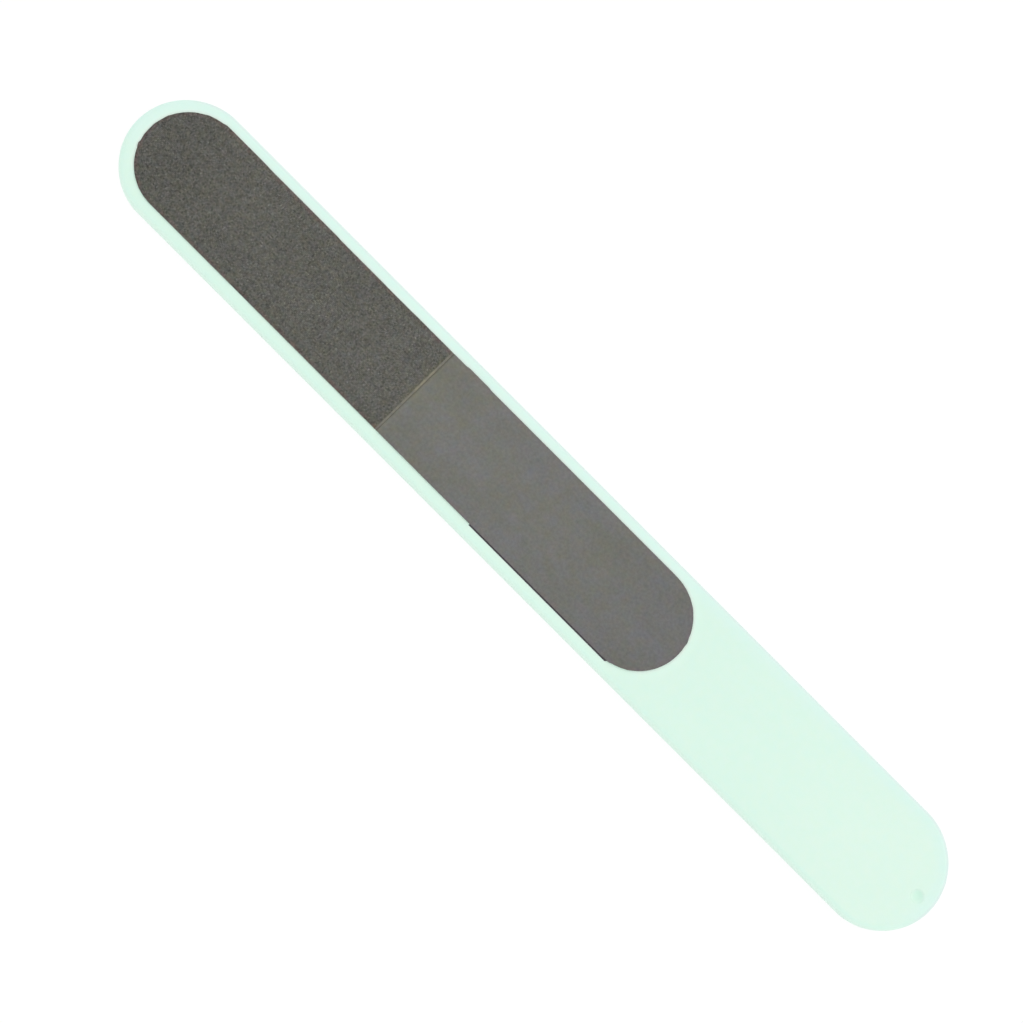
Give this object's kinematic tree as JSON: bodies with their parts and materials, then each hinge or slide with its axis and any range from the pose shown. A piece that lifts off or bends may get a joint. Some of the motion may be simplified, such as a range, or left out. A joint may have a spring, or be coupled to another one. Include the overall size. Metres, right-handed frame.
{
  "type": "nail file",
  "caption": "Flat nail file: a round-ended moulded plastic paddle with coarse and fine abrasive sheets bonded to its faces, leaving a bare handle.",
  "frame": {"origin": "under the middle of the paddle, on the plane that the back's abrasive faces rest on", "axes": "+X along the file towards the head, where the coarse sheets are; +Z out of the front face; +Y to the left when looking from the handle to the head with the front face up"},
  "size_m": [0.18, 0.022, 0.0041],
  "materials": {
    "mint_plastic": "satin",
    "dark_adhesive": "matte",
    "tan_backing_paper": "matte",
    "coarse_grit": "matte",
    "fine_grit": "matte"
  },
  "bodies": {
    "root": {"paddle": "mint_plastic", "front_coarse_adhesive": "dark_adhesive", "front_coarse_backing": "tan_backing_paper", "front_coarse_grit": "coarse_grit", "front_fine_adhesive": "dark_adhesive", "front_fine_backing": "tan_backing_paper", "front_fine_grit": "fine_grit", "back_coarse_adhesive": "dark_adhesive", "back_coarse_backing": "tan_backing_paper", "back_coarse_grit": "coarse_grit", "back_fine_adhesive": "dark_adhesive", "back_fine_backing": "tan_backing_paper", "back_fine_grit": "fine_grit"}
  },
  "joints": []
}
